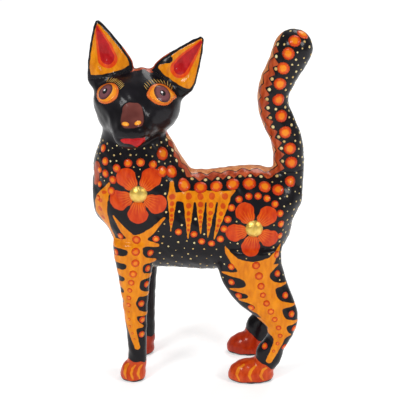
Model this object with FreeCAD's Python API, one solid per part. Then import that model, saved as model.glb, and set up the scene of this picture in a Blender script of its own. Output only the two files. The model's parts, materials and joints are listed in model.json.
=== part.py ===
import FreeCAD, Part
import math
import os

# A carved and painted wooden animal: torso, turned head, two loose ears, loose raised tail,
# four pegged legs, hardwood dowels and four domed brass tacks. Millimetres, +Z up.
# The animal looks along -X, and its left flank faces -Y. Left and right are the animal's own.

V = FreeCAD.Vector
UP = V(0, 0, 1)

# ---------------------------------------------------------------- driving dimensions
# Torso
torso_length = 116.5        # chest to rump
chest_x = -59.5             # foremost point of the chest
belly_height = 62.0         # floor to belly
saddle_depth = 57.5         # belly to back at the saddle
torso_half_width = 22.0

# Neck and head
neck_rise = 49.3            # from the middle of the saddle to the neck's flat joint
neck_x = -35.8
neck_half_length = 18.4     # along X at the joint
neck_half_width = 16.8      # along Y at the joint
skull_rise = 17.6           # from the joint to the skull's centre
skull_advance = 1.2         # the skull's centre lies this far behind the neck's
skull_y = -1.0
skull_half_width = 24.2     # across the cheeks
skull_half_depth = 22.0     # face to nape
skull_half_height = 18.6
face_turn = 6.0             # degrees that the face is turned from square towards the chest
muzzle_pitch = 20.0         # degrees that the muzzle points down
muzzle_reach = 27.0         # skull's centre to the middle of the muzzle's end
muzzle_half_width = 9.4
muzzle_half_height = 9.0
muzzle_dome = 6.0           # how far the muzzle's end bulges

# Legs
hip_clearance = 2.0         # the legs' flat joints lie this far under the belly
fore_leg_x = -36.0          # middle of the ankle
hind_leg_inset = 18.0       # rump to the middle of the hind ankle
fore_ankle_half_length = 5.4
hind_ankle_half_length = 7.6
leg_half_width = 5.8        # at the ankles
right_foreleg_setback = 3.7  # the right foreleg stands this much further back
right_hindleg_advance = 4.5  # and the right hind leg this much further forward
fore_stance = 17.0          # mid-plane to the middle of a forefoot
hind_stance = 18.0
fore_paw_half_length = 7.5
fore_paw_half_width = 7.0
fore_paw_height = 12.0
fore_paw_lead = 2.2         # the paw's middle ahead of the ankle's
hind_paw_half_length = 13.3
hind_paw_half_width = 8.2
hind_paw_height = 12.5
hind_paw_lead = 10.0

# Tail
tail_seat_rise = 2.0        # the flat seat over the saddle's back
tail_height = 78.2          # seat to tip
tail_root_radius = 8.6
tail_end_radius = 10.6
tail_curl = 9.6             # how far the waist of the tail leans forward of its root

# Ears
ear_half_width = 12.2
ear_half_thickness = 4.8
ear_right_length = 30.0
ear_left_length = 29.5
ear_right_tilt = 14.0       # degrees from upright
ear_left_tilt = 35.0
ear_scoop_depth = 1.6
ear_set_back = 2.0          # behind the skull's centre

# Dowels, bores and tacks
glue_gap = 0.05             # radial gap round a glued dowel
slip_gap = 0.06             # radial gap round a dowel that pulls out
end_relief = 1.0            # free depth beyond the end of a dowel
seat_gap = 0.12             # air under a loose piece on its flat seat
seat_margin = 0.5           # how much wider a seat is cut than the piece on it
neck_dowel_radius = 4.0
neck_dowel_length = 26.0
leg_dowel_radius = 2.5
leg_dowel_length = 22.0
tail_dowel_radius = 3.0
tail_dowel_length = 30.0
ear_dowel_radius = 2.0
ear_dowel_length = 16.0
tack_head_radius = 5.0
tack_head_height = 2.6
tack_shank_radius = 0.8
tack_shank_length = 12.0
tack_sink = 0.7             # depth of the flat that a tack's head lies on
shoulder_tack_x = -33.3
haunch_tack_lead = 9.5      # ahead of the hind ankle
shoulder_tack_rise = 22.3   # over the middle of the saddle
haunch_tack_rise = 2.4

# ---------------------------------------------------------------- derived places
half_saddle = saddle_depth / 2
mid_z = belly_height + half_saddle
rump_x = chest_x + torso_length
hind_leg_x = rump_x - hind_leg_inset
haunch_tack_x = hind_leg_x - haunch_tack_lead
leg_seam_z = belly_height - hip_clearance
neck_seam_z = mid_z + neck_rise
skull = V(neck_x + skull_advance, skull_y, neck_seam_z + skull_rise)
tail_x = rump_x - 7.8
tail_seam_z = mid_z + half_saddle + tail_seat_rise
ear_right_root_x = 0.55 * skull_half_width   # from the skull's centre, right ear
ear_right_root_z = 0.93 * skull_half_height
ear_left_root_x = 0.78 * skull_half_width
ear_left_root_z = 0.70 * skull_half_height

# Torso sections: share of the length, rise of the centre, half height and half width,
# the last three as shares of the saddle's half depth and of the half width.
torso_sections = (
    (0.000, 0.60, 0.24, 0.32),
    (0.039, 0.55, 0.55, 0.62),
    (0.107, 0.39, 0.85, 0.90),
    (0.193, 0.18, 1.10, 1.01),
    (0.339, 0.08, 1.04, 1.01),
    (0.511, 0.00, 1.00, 0.99),
    (0.665, 0.03, 1.03, 1.01),
    (0.803, 0.08, 1.00, 1.00),
    (0.906, 0.24, 0.80, 0.84),
    (0.966, 0.42, 0.46, 0.58),
    (1.000, 0.55, 0.18, 0.30),
)
# Neck sections: height as a share of the rise, set-back, and the added half sizes
neck_sections = (
    (0.15, 6.0, 8.6, 4.7),
    (0.39, 5.8, 11.0, 5.6),
    (0.59, 3.8, 8.6, 4.8),
    (0.74, 1.4, 5.8, 3.4),
    (0.88, 0.8, 2.8, 1.7),
    (1.00, 0.0, 0.0, 0.0),
    (1.20, 0.0, -0.9, -0.8),
)
# Foreleg sections: height as a share of the leg, set-back from the ankle, and the half sizes
# as multiples of the ankle's; then how far the section leans in towards the mid-plane
foreleg_sections = (
    (1.40, -0.9, 2.11, 1.55, 2.5),
    (1.20, -0.6, 2.02, 1.48, 2.0),
    (1.00, -0.6, 1.63, 1.31, 1.4),
    (0.75, -0.3, 1.30, 1.10, 0.6),
    (0.53, 0.1, 1.11, 1.00, 0.2),
    (0.33, 0.4, 1.00, 0.95, 0.0),
    (0.13, 0.2, 1.04, 1.00, 0.0),
)
hindleg_sections = (
    (1.33, -11.5, 2.43, 1.81, 4.5),
    (1.20, -11.5, 2.37, 1.72, 4.0),
    (1.00, -8.7, 2.41, 1.53, 2.8),
    (0.83, -3.5, 2.24, 1.36, 1.6),
    (0.73, 0.7, 1.95, 1.28, 1.0),
    (0.63, 5.0, 1.49, 1.19, 0.5),
    (0.53, 7.0, 1.09, 1.10, 0.2),
    (0.42, 4.8, 0.97, 1.07, 0.0),
    (0.27, 0.2, 1.04, 1.09, 0.0),
    (0.12, -5.5, 1.22, 1.21, 0.0),
)
# Ear outline: share of the length and share of the half width, base to tip
ear_sections = (
    (0.00, 1.00, 1.00),
    (0.22, 0.98, 0.90),
    (0.50, 0.71, 0.74),
    (0.78, 0.40, 0.56),
    (0.92, 0.21, 0.42),
    (1.00, 0.07, 0.20),
)


# ---------------------------------------------------------------- shape helpers
def ellipse(centre, normal, along, half_along, half_across):
    """A closed elliptical wire whose first axis lies as near to `along` as the plane allows."""
    n = V(normal).normalize()
    u = V(along) - n * V(along).dot(n)
    u.normalize()
    w = n.cross(u)
    points = []
    for step in range(24):
        angle = 2 * math.pi * step / 24
        points.append(centre + u * (half_along * math.cos(angle)) + w * (half_across * math.sin(angle)))
    curve = Part.BSplineCurve()
    curve.interpolate(Points=points, PeriodicFlag=True)
    return Part.Wire([curve.toShape()])


def loft(wires):
    """A smooth solid through closed sections; a higher degree than 3 bulges between them."""
    return Part.makeLoft(wires, True, False, False, 3)


def ellipsoid(centre, half_x, half_y, half_z):
    ball = Part.makeSphere(1.0)
    stretch = FreeCAD.Matrix()
    stretch.scale(half_x, half_y, half_z)
    ball = ball.transformGeometry(stretch)
    ball.translate(centre)
    return ball


def slab(z_low, z_high):
    """Everything between two heights."""
    reach = 4 * torso_length
    return Part.makeBox(2 * reach, 2 * reach, z_high - z_low, V(-reach, -reach, z_low))


def bore(radius, length, centre, axis):
    n = V(axis).normalize()
    return Part.makeCylinder(radius, length, centre - n * (length / 2), n)


def peg(radius, length, centre, axis):
    """A round dowel centred on `centre`, with a small chamfer at both ends."""
    body = bore(radius, length, centre, axis)
    rims = [edge for edge in body.Edges if isinstance(edge.Curve, Part.Circle)]
    return body.makeChamfer(0.2 * radius, rims)


def largest(shape):
    """The main solid of a boolean result."""
    return sorted(shape.Solids, key=lambda solid: solid.Volume)[-1]


# ---------------------------------------------------------------- carving, before it is cut
def barrel():
    wires = []
    for share, rise, height, width in torso_sections:
        centre = V(chest_x + share * torso_length, 0, mid_z + rise * half_saddle)
        wires.append(ellipse(centre, V(1, 0, 0), UP, height * half_saddle, width * torso_half_width))
    return loft(wires)


def neck_column():
    wires = []
    for share, back, longer, wider in neck_sections:
        centre = V(neck_x + back, 0, mid_z + share * neck_rise)
        wires.append(ellipse(centre, UP, V(1, 0, 0), neck_half_length + longer, neck_half_width + wider))
    return loft(wires)


def leg_column(sections, ankle_x, ankle_half_length, stance, side):
    wires = []
    for share, back, longer, wider, lean in sections:
        centre = V(ankle_x + back, side * (stance - lean), share * leg_seam_z)
        wires.append(ellipse(centre, UP, V(1, 0, 0), longer * ankle_half_length, wider * leg_half_width))
    return loft(wires)


def paw(centre_x, half_length, half_width, height, stance, side):
    low = 0.25 * height
    egg = ellipsoid(V(centre_x, side * stance, low), half_length, half_width, height - low)
    return egg.common(slab(0, height))


def foreleg(side):
    back = right_foreleg_setback if side > 0 else 0.0
    column = leg_column(foreleg_sections, fore_leg_x + back, fore_ankle_half_length, fore_stance, side)
    foot_x = fore_leg_x + back - fore_paw_lead
    foot = paw(foot_x, fore_paw_half_length, fore_paw_half_width, fore_paw_height, fore_stance, side)
    return column.fuse(foot)


def hindleg(side):
    ahead = right_hindleg_advance if side > 0 else 0.0
    column = leg_column(hindleg_sections, hind_leg_x - ahead, hind_ankle_half_length, hind_stance, side)
    foot_x = hind_leg_x - hind_paw_lead
    foot = paw(foot_x, hind_paw_half_length, hind_paw_half_width, hind_paw_height, hind_stance, side)
    return column.fuse(foot)


def rounded_end(centre, direction, along, half_along, half_across, bulge):
    """Shrinking sections that close a loft with a dome of height `bulge`."""
    wires = []
    for share in (0.42, 0.72, 0.91, 0.99):
        shrink = math.sqrt(1 - share * share)
        wires.append(ellipse(centre + direction * (share * bulge), direction, along,
                             shrink * half_along, shrink * half_across))
    return wires


def tail_column():
    """The raised tail: circles along one smooth curve, closed by a dome."""
    foot = V(tail_x - 9, 0, tail_seam_z - 33)
    rump = V(tail_x - 1, 0, tail_seam_z - 15)
    root = V(tail_x, 0, tail_seam_z)
    waist = V(tail_x - tail_curl, 0, tail_seam_z + 0.51 * tail_height)
    ball = V(tail_x + 1.2, 0, tail_seam_z + tail_height - tail_end_radius)
    below = root + (waist - root) * 0.42 + V(2.2, 0, 0)
    above = waist + (ball - waist) * 0.52 + V(-0.9, 0, 0)
    curve = Part.BSplineCurve()
    curve.interpolate([foot, rump, root, below, waist, above, ball])
    wires = []
    steps = 12
    first = curve.FirstParameter
    last = curve.LastParameter
    for step in range(steps + 1):
        at = first + (last - first) * step / steps
        point = curve.value(at)
        tangent = V(*curve.tangent(at)[0])
        grown = max(0.0, (point.z - waist.z) / (ball.z - waist.z))
        radius = tail_root_radius + (tail_end_radius - tail_root_radius) * grown ** 1.4
        wires.append(ellipse(point, tangent, V(0, 1, 0), radius, radius))
    wires += rounded_end(ball, tangent, V(0, 1, 0), radius, radius, radius)
    return loft(wires)


def ear_frame(side):
    """Root, direction, width direction and length of an ear; side -1 is the right ear."""
    if side < 0:
        root = skull + V(-ear_right_root_x, ear_set_back, ear_right_root_z)
        tilt = math.radians(ear_right_tilt)
        length = ear_right_length
    else:
        root = skull + V(ear_left_root_x, ear_set_back, ear_left_root_z)
        tilt = math.radians(ear_left_tilt)
        length = ear_left_length
    direction = V(side * math.sin(tilt), 0, math.cos(tilt))
    across = V(math.cos(tilt), 0, -side * math.sin(tilt))
    return root, direction, across, length


def ear_blade(side):
    root, direction, across, length = ear_frame(side)
    wires = []
    for share, width, thickness in ear_sections:
        centre = root + direction * (share * length)
        wires.append(ellipse(centre, direction, across, width * ear_half_width,
                             thickness * ear_half_thickness))
    blade = loft(wires)
    scoop = ellipsoid(V(0, 0, 0), 0.62 * ear_half_width, 2 * ear_scoop_depth, 0.42 * length)
    scoop.rotate(V(0, 0, 0), V(0, 1, 0), math.degrees(math.atan2(direction.x, direction.z)))
    scoop.translate(root + direction * (0.42 * length) + V(0, -0.86 * ear_half_thickness, 0))
    return largest(blade.cut(scoop))


def ear_stump(side):
    """The part of the skull that an ear's root stands on."""
    root, direction, across, length = ear_frame(side)
    wires = []
    for depth, width, thickness in ((0.0, 1.0, 1.0), (0.5, 0.98, 1.25), (1.2, 0.6, 1.1)):
        centre = root - direction * (depth * ear_half_width) - across * (side * 0.25 * depth * ear_half_width)
        wires.append(ellipse(centre, direction, across, width * ear_half_width,
                             thickness * ear_half_thickness))
    return loft(wires)


def muzzle():
    turn = math.radians(face_turn)
    pitch = math.radians(muzzle_pitch)
    forward = V(-math.sin(turn) * math.cos(pitch), -math.cos(turn) * math.cos(pitch), -math.sin(pitch))
    level = V(math.cos(turn), -math.sin(turn), 0)
    wires = []
    for share, width, height in ((0.30, 1.95, 1.75), (0.62, 1.55, 1.45), (0.86, 1.16, 1.12), (1.0, 1.0, 1.0)):
        wires.append(ellipse(skull + forward * (share * muzzle_reach), forward, level,
                             width * muzzle_half_width, height * muzzle_half_height))
    wires += rounded_end(skull + forward * muzzle_reach, forward, level,
                         muzzle_half_width, muzzle_half_height, muzzle_dome)
    return loft(wires)


# ---------------------------------------------------------------- joints' places
neck_joint = V(neck_x, 0, neck_seam_z)
tail_joint = V(tail_x, 0, tail_seam_z)


def leg_joint(name, side):
    if name == "front":
        back = right_foreleg_setback if side > 0 else 0.0
        return V(fore_leg_x - 0.6 + back, side * (fore_stance - 1.4), leg_seam_z)
    ahead = right_hindleg_advance if side > 0 else 0.0
    return V(hind_leg_x - 8.7 - ahead, side * (hind_stance - 2.8), leg_seam_z)


def flank_point(carving, x, z, side):
    """Where a line along Y meets the flank."""
    line = Part.makeLine(V(x, side * 3 * torso_half_width, z), V(x, 0, z))
    hit = line.common(carving)
    reach = max(side * vertex.Y for vertex in hit.Vertexes)
    return V(x, side * reach, z)


def tack(seat, side):
    """A domed brass head with its shank, driven in along Y."""
    out = V(0, side, 0)
    ball_radius = (tack_head_radius ** 2 + tack_head_height ** 2) / (2 * tack_head_height)
    ball = Part.makeSphere(ball_radius, seat - out * (ball_radius - tack_head_height))
    head = ball.common(Part.makeCylinder(2 * tack_head_radius, 2 * tack_head_height, seat, out))
    shank = Part.makeCylinder(tack_shank_radius, 0.8 * tack_shank_length, seat, out * -1)
    point = Part.makeCone(tack_shank_radius, 0.1, 0.2 * tack_shank_length,
                          seat - out * (0.8 * tack_shank_length), out * -1)
    return largest(head.fuse([shank, point]))


def tack_hole(seat, side):
    out = V(0, side, 0)
    flat = Part.makeCylinder(tack_head_radius + 0.1, 3 * tack_head_height, seat, out)
    hole = Part.makeCylinder(tack_shank_radius, tack_shank_length + 0.3, seat, out * -1)
    return flat.fuse(hole)


# ---------------------------------------------------------------- the pieces
def build():
    pieces = {}
    reach = 3 * (tail_seam_z + tail_height)

    tail_body = tail_column()
    body = barrel().fuse(neck_column().common(slab(0, neck_seam_z)))
    root = tail_body.common(slab(0, tail_seam_z))
    body = body.fuse(root)
    for name, maker in (("front", foreleg), ("hind", hindleg)):
        for side in (-1, 1):
            limb = maker(side)
            side_name = "left" if side < 0 else "right"
            body = body.fuse(limb.common(slab(leg_seam_z, reach)))
            pieces[name + "_leg_" + side_name] = largest(limb.common(slab(0, leg_seam_z)))
    body = body.cut(Part.makeCylinder(tail_root_radius + seat_margin, reach, tail_joint, UP))
    pieces["torso"] = largest(body)

    head = ellipsoid(skull, skull_half_width, skull_half_depth, skull_half_height)
    for lump in (neck_column(), muzzle(), ear_stump(-1), ear_stump(1)):
        head = head.fuse(lump)
    head = head.common(slab(neck_seam_z, reach))
    for side, ear_name in ((-1, "ear_right"), (1, "ear_left")):
        joint, direction, across, length = ear_frame(side)
        pocket = loft([ellipse(joint + direction * rise, direction, across,
                               ear_half_width + seat_margin, ear_half_thickness + seat_margin)
                       for rise in (0.0, length)])
        head = head.cut(pocket)
        blade = ear_blade(side)
        blade.translate(direction * seat_gap)
        pieces[ear_name] = blade
    pieces["head"] = largest(head)

    tail_piece = tail_body.common(slab(tail_seam_z, reach))
    tail_piece.translate(UP * seat_gap)
    pieces["tail"] = largest(tail_piece)

    def glued_join(dowel_name, first, second, joint, radius, length):
        """A vertical glued dowel, half in each piece."""
        pieces[dowel_name] = peg(radius, length, joint, UP)
        hole = bore(radius + glue_gap, length + 2 * end_relief, joint, UP)
        pieces[first] = largest(pieces[first].cut(hole))
        pieces[second] = largest(pieces[second].cut(hole))

    glued_join("neck_dowel", "torso", "head", neck_joint, neck_dowel_radius, neck_dowel_length)
    for name in ("front", "hind"):
        for side, side_name in ((-1, "left"), (1, "right")):
            leg_name = name + "_leg_" + side_name
            glued_join(name + "_leg_dowel_" + side_name, "torso", leg_name, leg_joint(name, side),
                       leg_dowel_radius, leg_dowel_length)

    def slip_join(dowel_name, loose, seat, joint, axis, radius, length):
        """A dowel that stays in the loose piece and slips in the seat's bore."""
        pieces[dowel_name] = peg(radius, length, joint, axis)
        depth = length / 2 + end_relief
        inner = Part.makeCylinder(radius + slip_gap, depth, joint - axis * depth, axis)
        outer = Part.makeCylinder(radius, length / 2 + 0.1, joint, axis)
        pieces[seat] = largest(pieces[seat].cut(inner))
        pieces[loose] = largest(pieces[loose].cut(outer))

    slip_join("tail_dowel", "tail", "torso", tail_joint, UP, tail_dowel_radius, tail_dowel_length)
    for side, side_name in ((-1, "right"), (1, "left")):
        joint, direction, across, length = ear_frame(side)
        slip_join("ear_dowel_" + side_name, "ear_" + side_name, "head", joint, direction,
                  ear_dowel_radius, ear_dowel_length)

    # Brass tacks
    for spot, x, rise in (("shoulder", shoulder_tack_x, shoulder_tack_rise),
                          ("haunch", haunch_tack_x, haunch_tack_rise)):
        for side, side_name in ((-1, "left"), (1, "right")):
            surface = flank_point(pieces["torso"], x, mid_z + rise, side)
            seat = surface - V(0, side * tack_sink, 0)
            pieces[spot + "_tack_" + side_name] = tack(seat, side)
            pieces["torso"] = largest(pieces["torso"].cut(tack_hole(seat, side)))
    return pieces


def centre_footprint(pieces):
    """Moves everything so that the middle of the footprint box is the origin."""
    low_x, high_x, low_y, high_y = 1e9, -1e9, 1e9, -1e9
    for solid in pieces.values():
        points = solid.tessellate(0.05)[0]
        low_x = min(low_x, min(point.x for point in points))
        high_x = max(high_x, max(point.x for point in points))
        low_y = min(low_y, min(point.y for point in points))
        high_y = max(high_y, max(point.y for point in points))
    shift = V(-(low_x + high_x) / 2, -(low_y + high_y) / 2, 0)
    for solid in pieces.values():
        solid.translate(shift)
    return shift


os.makedirs("parts", exist_ok=True)
parts = build()
moved = centre_footprint(parts)
print("moved by", round(moved.x, 3), round(moved.y, 3))
for part_name, part_solid in sorted(parts.items()):
    box = part_solid.BoundBox
    print(part_name, part_solid.isValid(), part_solid.isClosed(), round(part_solid.Volume, 1),
          [round(v, 1) for v in (box.XMin, box.XMax, box.YMin, box.YMax, box.ZMin, box.ZMax)])
    part_solid.exportStep("parts/" + part_name + ".step")
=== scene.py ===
# %% [markdown]
# # A painted wooden animal
# The real figure is carved from light copal wood in several pieces, pegged together, covered in
# glossy black lacquer and then painted by hand with petals, flames and hundreds of dots.
# This lesson starts from the fixed wooden frame, turns it into one smooth carved skin, cuts the
# skin back into its pieces, and paints each piece. `bpy` gives objects and materials, `bmesh` the
# modelling tools, and `numpy` measures many points at once.

# %% Load the frame
import json
import math
import random

import bmesh
import bpy
import numpy as np
from mathutils import Matrix, Vector
from mathutils.bvhtree import BVHTree


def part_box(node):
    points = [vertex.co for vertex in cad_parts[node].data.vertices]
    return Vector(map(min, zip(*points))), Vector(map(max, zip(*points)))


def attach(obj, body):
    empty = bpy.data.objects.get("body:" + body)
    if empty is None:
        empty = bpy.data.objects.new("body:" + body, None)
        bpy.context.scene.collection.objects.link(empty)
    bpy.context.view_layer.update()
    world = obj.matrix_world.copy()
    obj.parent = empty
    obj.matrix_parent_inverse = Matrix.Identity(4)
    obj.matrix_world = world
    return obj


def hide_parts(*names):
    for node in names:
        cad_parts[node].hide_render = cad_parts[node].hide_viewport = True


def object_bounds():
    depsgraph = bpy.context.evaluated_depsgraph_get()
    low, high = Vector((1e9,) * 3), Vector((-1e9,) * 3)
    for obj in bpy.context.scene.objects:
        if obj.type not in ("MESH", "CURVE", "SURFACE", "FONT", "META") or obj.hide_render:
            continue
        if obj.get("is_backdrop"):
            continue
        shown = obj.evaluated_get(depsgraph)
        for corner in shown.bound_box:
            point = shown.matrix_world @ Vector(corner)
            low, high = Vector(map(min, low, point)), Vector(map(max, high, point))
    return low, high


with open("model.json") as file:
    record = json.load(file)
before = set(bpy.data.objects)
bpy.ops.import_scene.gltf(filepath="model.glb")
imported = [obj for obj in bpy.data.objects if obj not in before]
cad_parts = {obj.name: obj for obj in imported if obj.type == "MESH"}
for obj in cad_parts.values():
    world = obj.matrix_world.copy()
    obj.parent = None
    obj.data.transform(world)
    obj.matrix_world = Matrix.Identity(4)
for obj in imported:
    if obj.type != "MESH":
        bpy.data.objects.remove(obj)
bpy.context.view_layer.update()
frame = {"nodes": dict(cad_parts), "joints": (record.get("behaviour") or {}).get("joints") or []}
nodes = frame["nodes"]
pull = {joint["name"]: Vector(joint["axis"]) for joint in frame["joints"]}
scene = bpy.context.scene
mm = 0.001
random.seed(7)

# %% [markdown]
# The figure isn't centred on the frame's origin, because the turned head reaches out to one side.
# Paint is laid out in mm from the body's own middle plane, so that plane is measured first,
# halfway between the brass tacks of the two flanks.

# %% Find the middle plane
tack_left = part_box("shoulder_tack_left")
tack_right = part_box("shoulder_tack_right")
shoulder_x = -33.3              # the shoulder tack, along the body
middle = Vector(((tack_left[0].x + tack_left[1].x) / 2 - shoulder_x * mm,
                 (tack_left[0].y + tack_right[1].y) / 2, 0))


def at(x, y, z):
    """A point given in mm from the middle plane: x to the tail, y to the right flank, z up."""
    return middle + Vector((x, y, z)) * mm


print("middle plane at", [round(v / mm, 2) for v in middle])

# %% [markdown]
# ## Camera, light and floor
# A small shiny object is lit like a product in a shop: a large soft light from above and in front,
# a weaker one on the other side, a bright surround, and a plain pale floor. Lacquer shows mostly
# what it mirrors, so the size of the lights decides how its highlights look.

# %% Camera
distance = 0.8
elevation = math.radians(20)
aim = at(0, 0, 100)
back = Vector((0, -math.cos(elevation), math.sin(elevation)))
raise_view = Vector((0, math.sin(elevation), math.cos(elevation))) * 1.96 * mm
camera = bpy.data.objects.new("camera", bpy.data.cameras.new("camera"))
camera.data.lens = 128.57
camera.data.sensor_width = 36
camera.location = aim + back * distance + raise_view
camera.rotation_euler = back.to_track_quat("Z", "Y").to_euler()
scene.collection.objects.link(camera)
scene.camera = camera

# %% Lights, surround and floor
scene.view_settings.view_transform = "Standard"


def soft_light(name, place, size, power):
    """A square area light that faces the figure."""
    lamp = bpy.data.lights.new(name, "AREA")
    lamp.size = size
    lamp.energy = power
    holder = bpy.data.objects.new(name, lamp)
    holder.location = place
    holder.rotation_euler = (Vector(place) - aim).to_track_quat("Z", "Y").to_euler()
    scene.collection.objects.link(holder)


soft_light("key", (-0.75, -0.9, 1.15), 0.45, 10.5)
soft_light("fill", (0.95, -0.55, 0.8), 0.35, 4.8)
soft_light("top", (0.35, 0.85, 1.2), 0.7, 8)
world = bpy.data.worlds.new("studio")
world.use_nodes = True
surround = world.node_tree.nodes["Background"].inputs
surround["Color"].default_value = (1, 1, 1, 1)
surround["Strength"].default_value = 0.34
scene.world = world


def mesh_object(name, bm):
    """A new object from a bmesh, which is freed."""
    mesh = bpy.data.meshes.new(name)
    bm.to_mesh(mesh)
    bm.free()
    piece = bpy.data.objects.new(name, mesh)
    scene.collection.objects.link(piece)
    return piece


bm = bmesh.new()
bmesh.ops.create_circle(bm, cap_ends=True, segments=96, radius=3.0)
floor = mesh_object("floor", bm)
floor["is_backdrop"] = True

# %% [markdown]
# ## The carved skin
# The frame's pieces meet at flat joints and have hard creases where a leg meets the belly. On the
# real carving the knife and the sandpaper have rounded them, and the lacquer runs over the joints.
# So copies of the pieces are joined and remeshed into one even grid of small faces. A voxel
# remesh is the right tool because it doesn't care how the pieces overlap.

# %% Join and remesh
carved = ["torso", "head", "tail", "ear_left", "ear_right",
          "front_leg_left", "front_leg_right", "hind_leg_left", "hind_leg_right"]
grid = 0.68 * mm


def applied(piece):
    """The bmesh of an object with its modifiers applied; the object is removed."""
    bm = bmesh.new()
    bm.from_object(piece, bpy.context.evaluated_depsgraph_get())
    bpy.data.objects.remove(piece)
    return bm


def merged_copy(names):
    """One bmesh with copies of the frame's nodes, their loose triangles welded."""
    bm = bmesh.new()
    for name in names:
        bm.from_mesh(nodes[name].data)
    bmesh.ops.remove_doubles(bm, verts=bm.verts, dist=0.001 * mm)
    return bm


raw = mesh_object("raw_skin", merged_copy(carved + [n for n in nodes if "dowel" in n]))
remesh = raw.modifiers.new("grid", "REMESH")
remesh.mode = "VOXEL"
remesh.voxel_size = grid
skin = applied(raw)
print("skin faces:", len(skin.faces))

# %% [markdown]
# Repeated smoothing wears the creases down as sandpaper does. The ears are thin, so they get only
# a little of it, and a margin round their seats blends the two.

# %% Sand the skin
ear_seats = {}
for side in ("left", "right"):
    low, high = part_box("ear_dowel_" + side)
    ear_seats[side] = ((low + high) / 2, pull["ear_" + side + "_pull"])
ear_reach = 34                  # mm from an ear's seat to beyond its tip
blades = [v for v in skin.verts
          if any((v.co - seat).dot(axis) > -1 * mm and (v.co - seat).length < ear_reach * mm
                 for seat, axis in ear_seats.values())]
blade_set = set(blades)
body_verts = [v for v in skin.verts if v not in blade_set]
for pass_number in range(26):
    for verts in (body_verts, blades) if pass_number < 7 else (body_verts,):
        bmesh.ops.smooth_vert(skin, verts=verts, factor=0.5,
                              use_axis_x=True, use_axis_y=True, use_axis_z=True)
print("sanded; ear points:", len(blades))

# %% [markdown]
# The shapes of the paint are worked out as distances in mm: below zero is inside the painted
# shape, above zero is outside. Every vertex stores its distance to each kind of shape, and the
# material later turns that number into a crisp edge. A tapered stroke is the brush mark that
# most of the figure's motifs are made of.

# %% Brush marks as distances
def stroke(x, z, chain):
    """Distance to a run of tapered strokes through points (x, z, radius)."""
    best = np.full(x.shape, 99.0)
    for (x0, z0, r0), (x1, z1, r1) in zip(chain, chain[1:]):
        dx, dz = x1 - x0, z1 - z0
        t = np.clip(((x - x0) * dx + (z - z0) * dz) / (dx * dx + dz * dz), 0, 1)
        best = np.minimum(best, np.hypot(x - x0 - t * dx, z - z0 - t * dz) - r0 - t * (r1 - r0))
    return best


def discs(x, z, places):
    """Distance to the nearest of some discs (x, z, radius)."""
    return np.min([np.hypot(x - px, z - pz) - r for px, pz, r in places], axis=0)


def join(first, second, blend=1.2):
    """Two shapes run together with a rounded inner corner."""
    h = np.clip(0.5 + 0.5 * (second - first) / blend, 0, 1)
    return second + (first - second) * h - blend * h * (1 - h)


def joined(shapes, blend=1.2):
    """Several shapes run together."""
    result = shapes[0]
    for shape in shapes[1:]:
        result = join(result, shape, blend)
    return result


OUTSIDE = 30.0                  # a distance in mm that is clear of every painted shape


def only(where, shape):
    """Keeps a shape to a part of the skin."""
    return np.where(where, shape, OUTSIDE)


def measure(piece):
    """A piece's vertices in mm from the middle plane, and its normals."""
    count = len(piece.data.vertices)
    co = np.empty(count * 3, np.float32)
    normal = np.empty(count * 3, np.float32)
    piece.data.vertices.foreach_get("co", co)
    piece.data.vertex_normals.foreach_get("vector", normal)
    return (co.reshape(-1, 3) - np.array(middle)) / mm, normal.reshape(-1, 3).astype(float)


def ray_tree(piece):
    """What rays are shot at."""
    return BVHTree.FromObject(piece, bpy.context.evaluated_depsgraph_get())


def move_points(piece, points):
    """Writes back points given in mm from the middle plane."""
    piece.data.vertices.foreach_set("co", (points * mm + np.array(middle)).astype(np.float32).ravel())
    piece.data.update()


def ear_frame(side, points):
    """Points in mm from an ear's seat, how far up the ear they lie, and how far towards the crown."""
    seat, axis = ear_seats[side]
    from_seat = points - np.array(((seat - middle) / mm)[:])
    inward = from_seat @ np.array((axis.z, 0, -axis.x)) * (1 if side == "right" else -1)
    return from_seat, from_seat @ np.array(axis), inward


skin_piece = mesh_object("skin", skin)
P, N = measure(skin_piece)
X, Y, Z = P.T
side_sign = np.where(Y < 0, -1.0, 1.0)
outward = N[:, 1] * side_sign           # 1 where a surface faces away from the middle plane
print("points to paint:", len(P))

# %% [markdown]
# ### Carving marks
# A hand-carved surface is never even: the knife leaves shallow waves that bend every reflection.
# Summed sine waves push the skin in and out by about a tenth of a millimetre. The mouth is a
# shallow cut, and the nose is left standing a little proud, as a carver leaves it.

# %% Knife waves, nose and mouth
waves = np.zeros(len(P))
for number in range(9):
    angle = number * 2.4
    length = 5.5 + 1.7 * (number % 4)
    direction = np.array((math.cos(angle), math.sin(angle) * 0.8, math.sin(angle * 1.7)))
    waves += np.sin(P @ direction * (2 * math.pi / length) + number * 1.3)
snout = (N[:, 1] < 0.35) & (Y < -14) & (Z > 138) & (X < -22) & (X > -50)
nose_box_x = np.abs(X + 35.8) - 6.3 + 0.055 * np.clip(Z - 154, 0, 20) ** 1.5
nose_box_z = np.abs(Z - 159.3) - 5.4
nose = np.hypot(np.maximum(nose_box_x + 3, 0), np.maximum(nose_box_z + 3, 0)) - 3
nose = only(snout, nose)
lip_top = only(snout, np.abs(Z - 148.2 + 0.015 * (X + 35.4) ** 2))
mouth_reach = np.maximum(np.abs(X + 35.4) - 7.5, 0)
push = 0.035 * waves
push += 0.45 * np.clip(0.5 - nose / 1.2, 0, 1)
push -= 0.7 * np.exp(-(np.hypot(lip_top, mouth_reach) / 0.8) ** 2)
facing = N[:, 1].copy()                         # below zero on the side of the face
co = P + N * push[:, None]
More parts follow.
